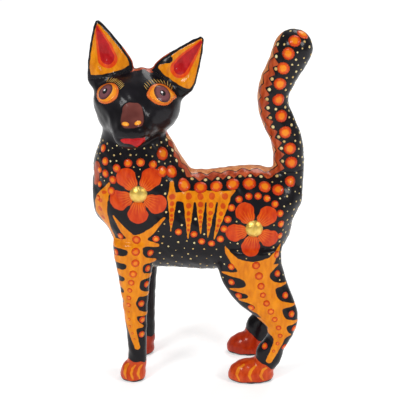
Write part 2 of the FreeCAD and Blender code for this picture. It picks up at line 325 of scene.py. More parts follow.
# Broad swellings and hollows that the frame's plain shapes leave out
fill_out = np.exp(-((Z - 169) / 4.5) ** 2 - ((Y - 1) / 9) ** 2) * np.clip((-50 - X) / 4, 0, 1)
co[:, 0] -= 2.2 * fill_out                      # the cheek runs straight up into the right ear
crown = np.exp(-((X + 30.8) / 4.4) ** 2 - ((Y - 1) / 9) ** 2) * np.clip((Z - 170) / 4, 0, 1)
co[:, 2] += 2.2 * crown
jowl = np.exp(-((Z - 154) / 5.5) ** 2) * np.clip((-48 - X) / 6, 0, 1)
co[:, 0] += 1.4 * jowl
under_rump = np.exp(-((Z - 93) / 7) ** 2) * np.clip((X - 44) / 6, 0, 1)
co[:, 0] -= 1.7 * under_rump
on_back = np.clip(N[:, 2], 0, 1) * ((Z > 108) & (Z < 126))
co[:, 2] += on_back * (0.2 * np.exp(-((X - 26) / 6) ** 2) - 1.2 * np.exp(-((X - 38.5) / 4) ** 2))
for side, (_, axis) in ear_seats.items():       # the ears' pegs keep a cover of wood
    from_seat, along_peg, _ = ear_frame(side, co)
    radial = from_seat - along_peg[:, None] * np.array(axis)
    size = np.linalg.norm(radial, axis=1)
    need = 2.5 * np.clip((12.5 - np.abs(along_peg)) / 5, 0, 1)
    grow = 0.7 * np.log1p(np.exp(np.clip((need - size) / 0.7, -20, 20)))
    co += radial / np.maximum(size, 0.1)[:, None] * grow[:, None]
move_points(skin_piece, co)
P, N = measure(skin_piece)
X, Y, Z = P.T
print("pushed by", round(float(push.min()), 2), "to", round(float(push.max()), 2), "mm")

# %% [markdown]
# ## Laying out the paint
# ### The band on the back
# A coral band runs from the crown down the nape, along the back and up the front of the tail. Its
# edge is cut into saw teeth, and a zigzag line fences off a yellow strip in its middle. Rays shot
# outwards from inside the body find the line the band follows, whatever the body's size.

# %% Find the line of the back
def marks_of(route):
    """How far along a route each of its points lies."""
    return np.concatenate(((0,), np.cumsum(np.linalg.norm(np.diff(route, axis=0), axis=1))))


def follow(points, route, marks):
    """The gap from each point to a route, and how far along the route its nearest place lies."""
    nearest_gap, along = np.full(len(points), 1e9), np.zeros(len(points))
    for start, end, mark, next_mark in zip(route, route[1:], marks, marks[1:]):
        step = end - start
        t = np.clip((points - start) @ step / (step @ step), 0, 1)
        gap = np.linalg.norm(points - start - t[:, None] * step, axis=1)
        nearer = gap < nearest_gap
        nearest_gap[nearer] = gap[nearer]
        along[nearer] = mark + t[nearer] * (next_mark - mark)
    return nearest_gap, along


guide = ((-33, 150, 0), (-33, 142, 2), (-34, 132, 8),
         (-30, 120, 30), (-20, 106, 52), (-8, 98, 75), (5, 94, 90), (18, 94, 90), (30, 97, 94),
         (40, 108, 122), (47, 118, 160), (49, 128, 178), (47, 139, 180), (45, 151, 180),
         (44, 163, 180), (44, 175, 176), (46, 186, 162), (51, 191, 130))
tree = ray_tree(skin_piece)
ridge = []
for x, z, angle in guide:
    heading = Vector((math.cos(math.radians(angle)), 0, math.sin(math.radians(angle))))
    hit = tree.ray_cast(at(x, 0, z), heading)[0]
    ridge.append(((hit - middle) / mm).to_tuple())
ridge = np.array(ridge)[:, (0, 2)]
ridge_s = marks_of(ridge)
fine_s = np.arange(0, ridge_s[-1], 1.0)
line = np.stack([np.interp(fine_s, ridge_s, column) for column in ridge.T], 1)
for _ in range(12):
    line[1:-1] = (line[:-2] + 2 * line[1:-1] + line[2:]) / 4
print("line of the back, mm:", round(float(ridge_s[-1]), 1))

# %% The band, its teeth and its zigzag
def teeth(s, period):
    """A triangle wave from 0 to 1."""
    return np.abs((s / period) % 1 * 2 - 1)


ear_half_width = 12.2
ear_region = ear_half_width + 1.0
ear_length = 29.8
ear_rows = (0.0, 0.22, 0.5, 0.78, 0.92, 1.0)     # shares of the length
ear_widths = (1.0, 0.98, 0.71, 0.4, 0.21, 0.07)  # shares of the half width at those rows
drop_to, along = follow(P[:, (0, 2)], line, fine_s)
tooth_period = 6.2
on_tail = np.clip((along - np.interp(46, line[:, 0], fine_s)) / 14 + 1, 0, 1) * (Z > 119)
across_band = np.hypot(Y, drop_to)              # from the ridge, straight to the vertex
half_band = 10.2 + 2.0 * on_tail - 3.6 * np.clip((28 - along) / 18, 0, 1)
half_band = half_band - 8.5 * np.clip((Z - 182) / 15, 0, 1)
band = across_band - half_band + 3.1 * teeth(along, tooth_period)
strip = np.abs(Y) - 5.4 + 3.2 * teeth(along, 8.0)

# On the turned head the band climbs the back of the skull and ends between the ears.
head_route = np.array(((-17, 2, 136), (-19, 10, 147), (-26, 19, 155), (-33, 20, 162), (-34, 12, 173),
                       (-34, 1, 178.5)))
route_gap, route_along = follow(P, head_route, marks_of(head_route))
on_head = (Z > 141) & (X < 0)
above_ear_seat = np.zeros(len(P), bool)
ear_stripe = np.full(len(P), OUTSIDE)
for side in ear_seats:
    _, up, inward = ear_frame(side, P)
    above_ear_seat |= (up > -0.8) & (np.abs(inward) < ear_region)
    rim = ear_half_width * np.interp(up / ear_length, ear_rows, ear_widths)
    stripe = rim - inward - 2.0 + 1.5 * teeth(up, 4.4)
    stripe = np.maximum(np.maximum(stripe, up - 13), (-0.5 - facing) * 6)
    here = (up > -0.8) & (inward > 0) & (inward < ear_region) & (Z > 160)
    ear_stripe = np.where(here, np.minimum(stripe, ear_stripe), ear_stripe)
head_band = route_gap - 8.5 - 0.06 * route_along + 2.4 * teeth(route_along, tooth_period)
head_band = np.where(Z > 168, np.maximum(head_band - 4, -3.2 - Y + 1.5 * teeth(X, 5.0)), head_band)
band = np.where(on_head, head_band, band)
strip = np.where(on_head, route_gap - 3.6 + 2.2 * teeth(route_along, 8.0), strip)
band = only(~(above_ear_seat & on_head & (Z > 162)), band)
band = np.minimum(band, ear_stripe)
band = only(~((X > -14) & (Z < 100)), band)
strip = only(band < 3, strip)
print("share under the band:", round(float((band < 0).mean()), 3))

# %% [markdown]
# ### Flowers
# Each flank has two flowers of five petals round a brass tack. A petal is a stroke that starts
# thin at the tack and ends broad and round. Two more numbers, the angle round the tack and the distance
# from it, let the material comb fine yellow streaks out of each petal's foot.

# %% Petals
low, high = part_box("haunch_tack_left")
haunch_x, _, haunch_z = (((low + high) / 2 - middle) / mm)[:]
low, high = tack_left
shoulder_z = (low + high).z / 2 / mm
flowers = ((shoulder_x, shoulder_z, (126, 53, -29, -93, -160), 10.9, 5.7),
           (haunch_x, haunch_z, (118, 44, -35, -99, 192), 10.3, 5.3))
petal = np.full(len(P), 99.0)
fan = np.zeros(len(P))
reach = np.zeros(len(P))
for fx, fz, angles, length, width in flowers:
    for degrees in angles:
        a = math.radians(degrees)
        steps = ((5.0, 1.5), (8.0, 4.2), (length, width))       # distance from the tack, radius
        shape = stroke(X, Z, [(fx + d * math.cos(a), fz + d * math.sin(a), r) for d, r in steps])
        here = shape < petal
        petal = np.where(here, shape, petal)
        fan = np.where(here, np.arctan2(Z - fz, X - fx) - a, fan)
        reach = np.where(here, np.hypot(X - fx, Z - fz), reach)
fan = (fan + math.pi) % (2 * math.pi) - math.pi
away_from_head = Z < 133
petal = only((outward > -0.15) & away_from_head & (X < 48), petal)

# %% [markdown]
# ### Flames
# A yellow flame climbs each leg and forks round the flower above it, a comb of ribs hangs on the
# flank, and two leaves lie on the chest. Each is a stem with tapered lobes joined to it. The legs
# of the right flank stand a little to the back or the front, so their flames shift with them.

# %% Flames on the legs
fade = np.clip((92 - Z) / 30, 0, 1)
right = Y > 0
leg_x = X - np.where(right & (X < 0), 3.7, 0) * fade + np.where(right & (X >= 0), 4.5, 0) * fade

front_stem = ((-35.4, 85.5, 3.0), (-35.4, 80, 4.0), (-36, 70, 4.4), (-37.7, 60, 4.2), (-39, 50, 3.4),
              (-39.6, 40, 3.1), (-38.4, 33, 2.3), (-35.4, 22, 1.6))
front_arms = (((-36.6, 86.5, 2.4), (-42, 92, 1.9), (-47.5, 100, 0.4)),
              ((-34.2, 86.5, 2.4), (-27, 91.6, 1.8), (-19.5, 99.5, 0.6)))
front_right_lobes = ((-34, -23.4, 83.2, 1.2), (-34, -25.4, 73, 1.1), (-36, -27.2, 64, 1.1),
                     (-37, -29.4, 53.5, 1.0), (-38, -30.2, 41.5, 0.9), (-37.5, -32.6, 34.5, 0.9))
front_left_lobes = ((83.4, 2.0), (74.5, 1.9), (66.4, 1.8), (59, 1.6), (52, 1.4), (45, 1.2), (38, 1.0))
parts = [stroke(leg_x, Z, front_stem)]
parts += [stroke(leg_x, Z, arm) for arm in front_arms]
parts += [stroke(leg_x, Z, ((root_x, tip_z + 2.4, 2.6), (tip_x, tip_z, r)))
          for root_x, tip_x, tip_z, r in front_right_lobes]
parts += [stroke(leg_x, Z, ((-37.5, z + 0.8, r + 0.6), (-49, z, r))) for z, r in front_left_lobes]
front_flame = joined(parts, 2.4)
front_flame = only(X < -10, front_flame)

hind_stem = ((30.4, 70, 6.6), (32.6, 61, 7.0), (35.2, 53.5, 7.0), (39, 46, 6.2), (42.5, 38.5, 5.0),
             (44.6, 33, 4.0), (44.4, 27, 2.7), (42, 20.5, 2.3), (39, 14.5, 1.7))
hind_arms = (((26, 70, 4.2), (19.6, 74, 2.5), (15.4, 78.8, 1.4), (13.4, 84.6, 0.3)),
             ((34, 70.5, 4.2), (39.5, 74.6, 2.2), (43.0, 79.4, 1.2), (44.6, 84, 0.3)))
hind_lobes = ((27, 66, 12.6, 66.5), (29, 57, 17, 57), (32, 51, 22, 51), (36, 44, 28.5, 45),
              (40, 36, 32.5, 39.5), (43, 31, 36.5, 31), (35, 68, 43, 71), (37, 60, 47.5, 59.5),
              (41, 49, 53.2, 46.8), (44, 38, 55.4, 37), (45, 31, 50.8, 30))
parts = [stroke(leg_x, Z, hind_stem)] + [stroke(leg_x, Z, arm) for arm in hind_arms]
parts += [stroke(leg_x, Z, ((ax, az, 2.7), (bx, bz, 0.5))) for ax, az, bx, bz in hind_lobes]
hind_flame = joined(parts, 2.6)
hind_flame = np.maximum(hind_flame, 18.6 - np.hypot(X - haunch_x, Z - haunch_z))
hind_flame = only((X > 4) & (Z < 100), hind_flame)
flame = np.minimum(front_flame, hind_flame)
flame = np.maximum(flame, (0.02 - outward) * 8)

# %% Ribs and chest leaves
rib_feet = ((-15.2, 110, -15.9, 92.0, 2.5), (-6.2, 109, -6.5, 87.6, 3.0), (0.2, 109, 0.3, 90.4, 2.7),
            (6.4, 109, 4.2, 88, 2.8), (13.2, 109, 7.8, 87.2, 3.2))
parts = [stroke(X, Z, ((-15.4, 118.3, 1.0), (-15.2, 110, 2.5))),
         stroke(X, Z, ((-15, 110.8, 2.2), (-10, 110.2, 2.5), (0, 110, 2.6), (13, 110, 2.7),
                       (19.2, 113.2, 0.4)))]
parts += [stroke(X, Z, ((ax, az, r), (bx, bz, 0.25))) for ax, az, bx, bz, r in rib_feet]
ribs = only((outward > 0.1) & (Z > 84), joined(parts, 0.8))
leaf = stroke(np.abs(Y), Z, ((16.4, 118, 0.3), (14.2, 108, 3.2), (12.6, 99, 4.2), (13.0, 91, 2.6),
                              (15.5, 84, 0.3)))
chest = N[:, 0] < -0.2
leaf = only(chest & (X < -44) & (Z < 125), leaf)
chest_petal = np.minimum(stroke(np.abs(Y), Z, ((8.2, 116.5, 2.2), (8.6, 124.5, 3.3))),
                         stroke(np.abs(Y), Z, ((0, 96, 0.4), (0, 106, 3.0), (0, 113, 3.6))))
chest_petal = only(chest & (X < -44), chest_petal)
flame = np.minimum(flame, np.minimum(ribs, leaf))
band = np.minimum(band, chest_petal)

spot_places = [(ax + (bx - ax) * t, az + (bz - az) * t - 0.5, 1.6 * (1 - 0.72 * t))
               for ax, az, bx, bz, r in rib_feet for t in (-0.08, 0.13, 0.32, 0.48, 0.62, 0.75)]
spots = only(ribs < 3, discs(X, Z, spot_places))
leaf_spots = discs(np.abs(Y), Z, ((15, 112, 1.0), (13.8, 107.2, 1.3), (12.8, 102, 1.5),
                                  (12.6, 96.6, 1.1)))
spots = np.where(leaf < 3, leaf_spots, spots)
print("share under flames:", round(float((flame < 0).mean()), 3))

# %% [markdown]
# ### Head, ears and paws
# The face is left black except for the nose and the lips. Each ear has a yellow field with an
# orange ring and a red core, drawn in the ear's own directions: up along the ear, and across it.
# The paws are dipped in orange-red, with wavy toe lines and a dark edge at the sole; the paws on the far
# flank are painted a darker red as painted shade.

# %% Lips and ears
lips = np.maximum(Z - 148.1 + 0.015 * (X + 35.4) ** 2,
                  143.0 + 0.42 * np.abs(X + 33.5) - 1.0 * np.cos((X + 33.5) * 0.9) * 0.6 - Z)
lips = np.maximum(lips, np.abs(X + 35.8) - 6.8)
lips = only(snout, lips)
field, ring, core = (np.full(len(P), OUTSIDE) for _ in range(3))
for side in ear_seats:
    from_seat, up, inward = ear_frame(side, P)
    rim = ear_half_width * np.interp(up / ear_length, ear_rows, ear_widths)
    bottom = 1.3 + 0.012 * inward ** 2 - up
    shape = np.maximum(np.maximum((np.abs(inward) - rim) * 0.9 + 1.3, bottom), up - 28.8)
    teardrop = stroke(inward, up, ((0.3, 9.6, 3.8), (0.1, 15, 3.1), (-0.8, 27.4, 0.5)))
    outer_drop = stroke(inward, up, ((0.3, 9.0, 5.4), (0.1, 15, 4.4), (-0.8, 27.9, 1.0)))
    face = (facing < 0.05) & (up > -1) & (np.linalg.norm(from_seat, axis=1) < ear_reach)
    field = np.where(face, shape, field)
    ring = np.where(face, np.maximum(outer_drop, shape + 0.3), ring)
    core = np.where(face, teardrop, core)
print("share under ear fields:", round(float((field < 0).mean()), 4))

# %% Paws
wobble = 0.5 * np.sin(X * 0.9 + Y * 0.7)
front_paw = Z - 13.0 + 0.15 * (leg_x + 38) + wobble
hind_paw = (Z - 15.5 + 0.7 * np.clip(leg_x - 31, -2, 30) + wobble) * 0.85
paw = np.where(X < 0, front_paw, hind_paw)
sole = Z - 1.5 + 0.2 * np.sin(X * 0.6)
toe_strokes = []
for paw_x, wide in ((-38.2, 7.5), (29.0, 13.3)):
    for shift in (-0.52, 0.0, 0.5):
        x = paw_x + shift * wide
        toe_strokes.append(stroke(leg_x, Z, ((x + 0.22 * wide, 10.6, 0.35), (x, 8.6, 0.75),
                                             (x - 0.1 * wide, 5.6, 0.75), (x + 0.02 * wide, 2.4, 0.4))))
toes = np.maximum(np.min(toe_strokes, axis=0), (0.1 - outward) * 6)

# %% Raise the paint and store it
paint = {"band": band, "strip": strip, "petal": petal, "fan": fan, "reach": reach, "flame": flame,
         "spots": spots, "nose": nose, "lips": lips, "field": field, "ring": ring, "core": core,
         "paw": paw, "toes": toes, "sole": sole}
paint_height = 0.13             # mm
coats = np.minimum.reduce([band, petal, flame, field, paw])
raised = P + N * (paint_height * np.clip(0.5 - coats / 0.9, 0, 1))[:, None]
move_points(skin_piece, raised)
for name, values in paint.items():
    layer = skin_piece.data.attributes.new("to_" + name, "FLOAT", "POINT")
    layer.data.foreach_set("value", values.astype(np.float32))
tree = ray_tree(skin_piece)
print("paint layers:", len(paint))

# %% [markdown]
# ## Cutting the skin back into pieces
# The real figure comes apart at the tail and the ears, and its neck and legs are pegged and glued.
# A cutting plane goes through each joint, and only the faces near that joint are cut. Splitting
# along the cut gives loose shells, which are told apart by where they lie.

# %% Joints
leg_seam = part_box("front_leg_left")[1].z
neck_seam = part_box("torso")[1].z
tail_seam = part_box("tail")[0].z
up = Vector((0, 0, 1))


def seat_of(dowel, height):
    """Where a dowel crosses a level joint."""
    low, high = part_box(dowel)
    return Vector(((low.x + high.x) / 2, (low.y + high.y) / 2, height))


# piece, other piece, seat, direction, dowel radius, depth of the hole on each side, reach of cut
joints = [("torso", "head", seat_of("neck_dowel", neck_seam), up, 4.0, 13.0, 26),
          ("torso", "tail", seat_of("tail_dowel", tail_seam), up, 3.0, 15.0, 13.5)]
for side in ("left", "right"):
    joints.append(("head", "ear_" + side, *ear_seats[side], 2.0, 8.0, 16.0))
    for pair in ("front", "hind"):
        leg = pair + "_leg_"
        joints.append((leg + side, "torso", seat_of(leg + "dowel_" + side, leg_seam), up, 2.5, 11.0, 19))

skin = bmesh.new()
skin.from_mesh(skin_piece.data)
for _, other, seat, axis, _, _, reach_of_cut in joints:
    sideways = 2.5 * mm if other == "ear_left" else -2.5 * mm if other == "ear_right" else 0
    heart = seat + Vector((sideways, 0, 0))     # clear of the crown between the ears
    near = {v for v in skin.verts if (v.co - heart).length < reach_of_cut * mm
            and abs((v.co - seat).dot(axis)) < 3 * mm}
    faces = [f for f in skin.faces if all(v in near for v in f.verts)]
    edges = {e for f in faces for e in f.edges}
    made = bmesh.ops.bisect_plane(skin, geom=[*near, *edges, *faces], dist=0.002 * mm,
                                  plane_co=seat, plane_no=axis)
    rim = [e for e in made["geom_cut"] if isinstance(e, bmesh.types.BMEdge)]
    bmesh.ops.split_edges(skin, edges=rim)


def shells(bm):
    """The faces of each separate shell, largest first."""
    seen = set()
    found = []
    for face in bm.faces:
        if face in seen:
            continue
        seen.add(face)
        shell, waiting = [], [face]
        while waiting:
            current = waiting.pop()
            shell.append(current)
            for edge in current.edges:
                for other in edge.link_faces:
                    if other not in seen:
                        seen.add(other)
                        waiting.append(other)
        found.append(shell)
    return sorted(found, key=len, reverse=True)


def name_of(shell):
    """Tells a shell's piece from the box it fills."""
    points = np.array([v.co[:] for f in shell for v in f.verts])
    low, high = points.min(0), points.max(0)
    side = "left" if low[1] + high[1] < 2 * middle.y else "right"
    if high[2] < leg_seam + mm:
        return ("front_leg_" if low[0] < 0 else "hind_leg_") + side
    if low[2] > tail_seam - mm and low[0] > 0.02:
        return "tail"
    if low[2] > neck_seam + 0.015:
        return "ear_left" if low[0] + high[0] > 2 * (middle.x - 0.033) else "ear_right"
    return "head" if low[2] > neck_seam - mm else "torso"


shell_of = skin.faces.layers.int.new("shell")
shell_names = []
for number, shell in enumerate(shells(skin)):
    shell_names.append(name_of(shell))
    for face in shell:
        face[shell_of] = number
    if number < 12:
        print("shell", shell_names[-1], len(shell))

# %% [markdown]
# Each piece is closed again with the flat face of its joint. That face has a drilled hole for the
# dowel: the rim of the cut is bridged to a circle, and the circle is extruded inwards. The bare
# wood shows there, so those faces take a second material.

# %% Close the joints
cut_mesh = bpy.data.meshes.new("cut_skin")
skin.to_mesh(cut_mesh)
skin.free()
bpy.data.objects.remove(skin_piece)


def close_joint(bm, seat, axis, radius, depth, loose):
    """Caps one joint of a piece with a bored flat face; axis points out of the piece."""
    flat = {e for e in bm.edges if e.is_boundary and all(
        abs((v.co - seat).dot(axis)) < 0.05 * mm for v in e.verts)}
    rim, nearest_gap = [], 1.0
    while flat:                                 # the loop of edges whose centre is nearest
        loop, waiting = [], [flat.pop()]
        while waiting:
            edge = waiting.pop()
            loop.append(edge)
            for other in {o for v in edge.verts for o in v.link_edges} & flat:
                flat.discard(other)
                waiting.append(other)
        centre = sum((v.co for e in loop for v in e.verts), Vector()) / (2 * len(loop))
        if (centre - seat).length < nearest_gap:
            rim, nearest_gap = loop, (centre - seat).length
    if loose:                                   # a fine groove where the pieces only touch
        for vert in {v for e in rim for v in e.verts}:
            vert.co -= vert.normal * 0.15 * mm
    for edge in rim:
        edge.smooth = False
    turn = axis.to_track_quat("Z", "Y").to_matrix().to_4x4()
    circle = bmesh.ops.create_circle(bm, segments=28, radius=radius * mm,
                                     matrix=Matrix.Translation(seat) @ turn)["verts"]
    hole = list({e for v in circle for e in v.link_edges})
    faces = bmesh.ops.bridge_loops(bm, edges=rim + hole)["faces"]
    wall = bmesh.ops.extrude_edge_only(bm, edges=hole)["geom"]
    lower = [g for g in wall if isinstance(g, bmesh.types.BMVert)]
    for vert in lower:
        vert.co -= axis * depth * mm
    floor_edges = [e for e in {e for v in lower for e in v.link_edges} if e.is_boundary]
    faces += bmesh.ops.edgeloop_fill(bm, edges=floor_edges)["faces"]
    faces += [g for g in wall if isinstance(g, bmesh.types.BMFace)]
    for face in faces:
        face.material_index = 1
        face.smooth = False
    for edge in hole:
        edge.smooth = False


pieces = {}
for number, name in enumerate(shell_names):
    if name in pieces or name not in carved:
        continue
    bm = bmesh.new()
    bm.from_mesh(cut_mesh)
    layer = bm.faces.layers.int["shell"]
    bmesh.ops.delete(bm, geom=[f for f in bm.faces if f[layer] != number], context="FACES")
    bm.normal_update()
    for face in bm.faces:
        face.smooth = True
    for lower_piece, upper_piece, seat, axis, radius, depth, _ in joints:
        loose = "ear" in upper_piece or upper_piece == "tail"
        if name == lower_piece:
            close_joint(bm, seat, axis, radius + 0.06, depth, loose)
        elif name == upper_piece:
            close_joint(bm, seat, -axis, radius + 0.06, depth, loose)
    bmesh.ops.recalc_face_normals(bm, faces=bm.faces)
    bm.faces.layers.int.remove(bm.faces.layers.int["shell"])
    open_edges = sum(not e.is_manifold for e in bm.edges)
    pieces[name] = mesh_object("carved_" + name, bm)
    print(name, "faces", len(pieces[name].data.polygons), "open edges", open_edges)

# %% [markdown]
# ## Drops of paint
# The dots are drops of thick paint pressed on with a stick, so they stand proud and catch the
# light. Each drop is a flattened sphere whose points are laid on the skin by rays, half sunk into
# it. A drop keeps how far each point is from its centre, so the material can give it a lighter
# heart, and a random tint, because no two drops of hand-mixed paint are alike.

# %% One drop
def new_drops():
    """A bmesh that is ready for drops."""
    bm = bmesh.new()
    bm.verts.layers.float.new("to_heart")
    bm.verts.layers.float.new("to_tint")
    return bm


def drop(bm, centre, normal, size, height=0.35, lift=0.0, kind=0, turn=0.0, fine=(14, 4), shape=None):
    """Lays one drop on the skin. size is its two half widths in mm, turn its angle."""
    heart, tint = bm.verts.layers.float["to_heart"], bm.verts.layers.float["to_tint"]
    shade = random.random()
    level = Vector((0, 0, 1)).cross(normal)
    level = level.normalized() if level.length > 0.2 else Vector((0, 1, 0))
    steep = normal.cross(level)
    first = level * math.cos(turn) + steep * math.sin(turn)
    second = normal.cross(first)
    made = bmesh.ops.create_uvsphere(bm, u_segments=fine[0], v_segments=fine[1], radius=1)["verts"]
    for vert in made:
        x, y, z = vert.co
        flat = math.hypot(x, y)
        scale = shape(math.atan2(y, x)) if shape else 1.0
        over = centre + (first * x * size[0] + second * y * size[1]) * scale * mm
        hit = tree.ray_cast(over + normal * 4 * mm, -normal, 9 * mm)[0]
        vert[heart] = flat if z > -0.01 else 1.0
        vert[tint] = shade
        vert.co = (hit or over) + normal * (z * height + lift) * mm
    for face in {f for v in made for f in v.link_faces}:
        face.material_index = kind
        face.smooth = True


def on_flank(x, z, flank):
    """The place and normal where a level line from the side meets the skin."""
    place, normal, _, _ = tree.ray_cast(at(x, 60 * flank, z), Vector((0, -flank, 0)))
    return place, normal


def nearest(x, y, z):
    """The nearest place on the skin, and its normal."""
    place, normal, _, _ = tree.find_nearest(at(x, y, z))
    return place, normal


TWO_TONE, RINGED, CREAM = 0, 1, 2
placed = []                     # every drop so far: place in metres and radius in mm
small_dot = 1.3                 # mm; smaller drops get fewer faces and keep clear of one another


def dot(bm, spot, radius, kind=TWO_TONE, **extra):
    """A round drop, remembered so that later ones keep clear of it."""
    place, normal = spot
    if place is None:
        return
    placed.append((place, radius))
    fine = (14, 4) if radius > small_dot else (8, 3)
    drop(bm, place, normal, (radius, radius), min(0.16 * radius + 0.08, 0.5), kind=kind, fine=fine, **extra)


# %% [markdown]
# The large dots follow the motifs: a row under the band and up the tail, an arc round each
# flower, one in every notch of a flame, and a string down each flame's stem.

# %% Large dots on the torso and tail
torso_dots, tail_dots = new_drops(), new_drops()
row = ((-20.5, -17.7, 125, 3.0), (-15.4, -14.7, 124, 3.4), (-8.8, -13.8, 116, 3.7), (0.3, -12.8, 114.2, 3.5),
       (8.9, -12.7, 114.8, 3.3), (17.9, -12.7, 116, 3.5), (27, -13, 116.5, 3.6), (35.5, -13.9, 115, 3.3),
       (42.7, -14.4, 113.4, 3.2), (-20.1, -13.6, 134, 3.6))
tail_row = ((50.1, -8.5, 127), (49.1, -8.4, 135), (46.4, -8.4, 144.3), (44.2, -8.1, 153.4),
            (42.6, -8.3, 162.6), (43, -9, 171.6), (44.5, -9.5, 180.4), (47, -9.9, 188.6), (50.3, -8.6, 195.5), (55.5, -4, 199))
shoulder_arc = ((-38.9, 130.2), (-32.1, 130.7), (-25.4, 129.2), (-45.2, 127), (-47.5, 120.2), (-48.4, 113.7),
                (-51.6, 129.4), (-51.6, 122.8), (-52.9, 135.5))
haunch_arc = ((13.2, 93.2), (15.2, 98.6), (17.2, 104.8), (21.3, 109), (26.6, 110.6), (31.7, 110.8),
              (36.6, 109.4), (41, 106.4), (43.9, 101.2), (44.6, 95), (44, 87.6), (42.5, 77), (11.2, 87.2))
under_ribs = ((-11.8, 91.4), (-3.3, 90), (0.9, 85.6), (6.3, 84.4))
for flank in (-1, 1):
    for x, y, z, r in row:
        dot(torso_dots, nearest(x, y * -flank, z), r * 1.06)
    dot(torso_dots, nearest(49.6, 9.3 * flank, 116.2), 3.2)
    for x, y, z in tail_row:
        if z < 190 or flank < 0:
            dot(tail_dots, nearest(x, y * -flank, z), 3.5)
    for x, z in shoulder_arc:
        dot(torso_dots, on_flank(x, z, flank), 2.4)
    for x, z in haunch_arc:
        dot(torso_dots, on_flank(x, z, flank), 2.1)
    for x, z in under_ribs:
        dot(torso_dots, on_flank(x, z, flank), 2.0)
    for z, r in ((124, 1.9), (116, 1.8), (108, 1.7)):
        dot(torso_dots, nearest(-56, 12.5 * flank, z), r)
print("dots so far:", len(placed))

# %% Large dots on the legs
notch_front = ((-24.2, 87.3), (-27.4, 78.4), (-28.8, 69.2), (-29.6, 59.5), (-32.6, 48.5), (-32.2, 38.5),
               (-32.6, 29.5), (-43.9, 87.9), (-46.4, 78.6))
string_front = ((-34.9, 86.8, 2.4), (-35.3, 80.3, 2.4), (-35.6, 73.6, 2.3), (-37, 67, 2.2),
                (-38.1, 61.7, 1.8), (-39, 57, 1.5), (-39.6, 52.2, 1.4), (-39.9, 47.8, 1.4),
                (-39.9, 43.4, 0.7), (-39.7, 38.9, 1.1),
                (-39.5, 34.4, 1.0), (-38, 30.4, 0.8), (-36.9, 27, 0.7))
notch_hind = ((17.2, 70.9), (17.4, 61.4), (21.4, 53.3), (28.4, 46.4), (36.4, 22.5), (43, 66), (47.6, 53.2),
              (51.3, 42.2), (53, 33), (47.6, 22))
string_hind = ((30.9, 72.3, 2.3), (32.6, 66, 2.3), (33.8, 60, 2.1), (34.9, 54.7, 1.7),
               (37, 49.7, 1.9), (39.5, 44.8, 1.9), (41.7, 40, 1.7), (44, 34.7, 1.6), (45, 29.8, 1.4), (43.6, 25, 1.3), (41.5, 20.4, 1.1))
leg_dots = {}
for flank, side in ((-1, "left"), (1, "right")):
    for pair, notches, string in (("front", notch_front, string_front), ("hind", notch_hind, string_hind)):
        set_back = {"front": 3.7, "hind": -4.5}[pair] if flank > 0 else 0.0
        bm = leg_dots[pair + "_leg_" + side] = new_drops()
        for x, z, *r in (*notches, *string):
            shift = set_back * min(max((92 - z) / 30, 0), 1)
            target = bm if at(0, 0, z).z < leg_seam else torso_dots
            dot(target, on_flank(x + shift, z, flank), r[0] if r else 2.0, RINGED if r else TWO_TONE)
print("dots so far:", len(placed))

# %% Dots in the band's teeth
head_dots = new_drops()
for start in np.arange(tooth_period, fine_s[-1] - 4, tooth_period):
    for flank in (-1, 1):
        edge = np.abs(along - start) + np.abs(across_band - half_band + 1.0) + np.where(Y * flank > 0, 0, 9)
        edge = edge + np.where(on_head | (N[:, 2] < -0.3), 9, 0)
        index = int(edge.argmin())
        if edge[index] > 1.5:
            continue
        target = tail_dots if (X[index] > 28 and Z[index] > 122) else torso_dots
        dot(target, (middle + Vector(P[index]) * mm, Vector(N[index])), 1.15, CREAM)
print("dots so far:", len(placed))

# %% [markdown]
# Small cream dots fill the black that is left. They are scattered at random with a least distance
# between them, only where every painted shape is far enough away.

# %% Cream dots
order = list(range(len(P)))
random.shuffle(order)


def sprinkle(bm, where, spacing, sizes):
    """Scatters cream dots over the vertices where `where` is true."""
    kept = np.array([((p - middle) / mm)[:] + (r,) for p, r in placed])
    count = 0
    for index in order:
        if not where[index] or coats[index] < small_dot:
            continue
        gaps = np.linalg.norm(kept[:, :3] - P[index], axis=1) - kept[:, 3]
        radius = sizes[0] + (sizes[1] - sizes[0]) * random.random()
        if gaps.min() < spacing * (0.45 + 0.25 * random.random()):
            continue
        small = kept[:, 3] < small_dot
        if small.any() and gaps[small].min() < spacing:
            continue
        place = middle + Vector(P[index]) * mm
        dot(bm, (place, Vector(N[index])), radius, CREAM)
        kept = np.vstack((kept, (*P[index], radius)))
        count += 1
    return count


neck = (X < -16) & (Z > 118) & (Z < 139.5)
flank_low = (Z > 63) & (Z < 92) & (X > -27) & (X < 26) & (outward > 0.2)
flank_top = (Z > 92) & (Z < 119) & (X > -20) & (X < 20) & (outward > 0.2)
rump = (X > 38) & (Z > 60) & (Z < 121)
tail_side = (X > 28) & (Z > 123)
nape_head = on_head & (Y > 4) & (Z < 174) & ~above_ear_seat
for name, bm, where, spacing, sizes in (
        ("neck", torso_dots, neck, 2.6, (0.42, 0.75)),
        ("low flank", torso_dots, flank_low, 3.4, (0.35, 0.75)),
        ("high flank", torso_dots, flank_top, 4.5, (0.5, 0.9)),
        ("rump", torso_dots, rump, 3.1, (0.45, 0.8)),
        ("tail", tail_dots, tail_side, 2.7, (0.5, 0.95)),
        ("back of the head", head_dots, nape_head, 3.4, (0.5, 0.8))):
    print(name, sprinkle(bm, where, spacing, sizes))

# %% [markdown]
# ## The face
# The eyes are painted in layers, each on top of the dried one below: an orange rim, a yellow
# ground, a purple-brown iris, a black pupil and a white glint. Lashes are single brush strokes.

# %% Eyes, lashes and nostrils
RIM, GROUND, IRIS, PUPIL, GLINT, LASH = 3, 4, 5, 6, 7, 8


